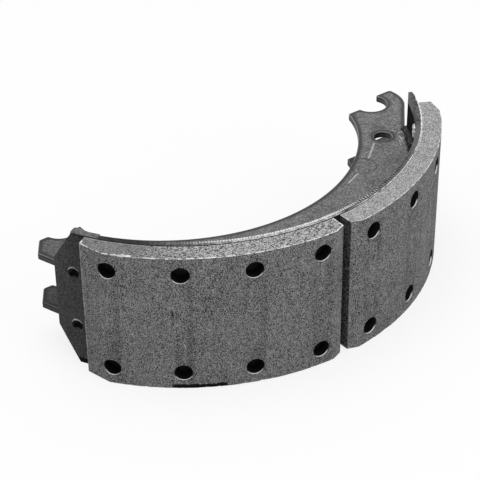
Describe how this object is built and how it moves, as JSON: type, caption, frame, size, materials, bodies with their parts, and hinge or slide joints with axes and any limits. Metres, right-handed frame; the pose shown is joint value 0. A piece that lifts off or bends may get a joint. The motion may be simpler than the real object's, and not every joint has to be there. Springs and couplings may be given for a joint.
{
  "type": "brake shoe",
  "caption": "Drum brake shoe: curved steel table on twin webs, riveted lining blocks, open anchor seats and hooked roller seats.",
  "frame": {"origin": "on the anchor seat's axis, midway between the two webs", "axes": "+Z along the anchor seat's axis, across the shoe's width; +Y from the anchor end towards the cam end; +X from the hub side towards the lining at the shoe's middle"},
  "size_m": [0.1854, 0.3837, 0.1214],
  "materials": {
    "table_steel": "satin",
    "web_steel": "satin",
    "weld_steel": "rough",
    "friction_lining": "matte",
    "rivet_steel": "worn"
  },
  "bodies": {
    "root": {"shoe_table": "table_steel", "upper_web": "web_steel", "upper_web_weld_cam": "weld_steel", "upper_web_weld_middle": "weld_steel", "upper_web_weld_anchor": "weld_steel", "lower_web": "web_steel", "lower_web_weld_cam": "weld_steel", "lower_web_weld_middle": "weld_steel", "lower_web_weld_anchor": "weld_steel", "anchor_lining": "friction_lining", "anchor_rivet_upper_1": "rivet_steel", "anchor_rivet_upper_2": "rivet_steel", "anchor_rivet_upper_3": "rivet_steel", "anchor_rivet_upper_4": "rivet_steel", "anchor_rivet_lower_1": "rivet_steel", "anchor_rivet_lower_2": "rivet_steel", "anchor_rivet_lower_3": "rivet_steel", "anchor_rivet_lower_4": "rivet_steel", "cam_lining": "friction_lining", "cam_rivet_upper_1": "rivet_steel", "cam_rivet_upper_2": "rivet_steel", "cam_rivet_upper_3": "rivet_steel", "cam_rivet_upper_4": "rivet_steel", "cam_rivet_lower_1": "rivet_steel", "cam_rivet_lower_2": "rivet_steel", "cam_rivet_lower_3": "rivet_steel", "cam_rivet_lower_4": "rivet_steel"}
  },
  "joints": []
}
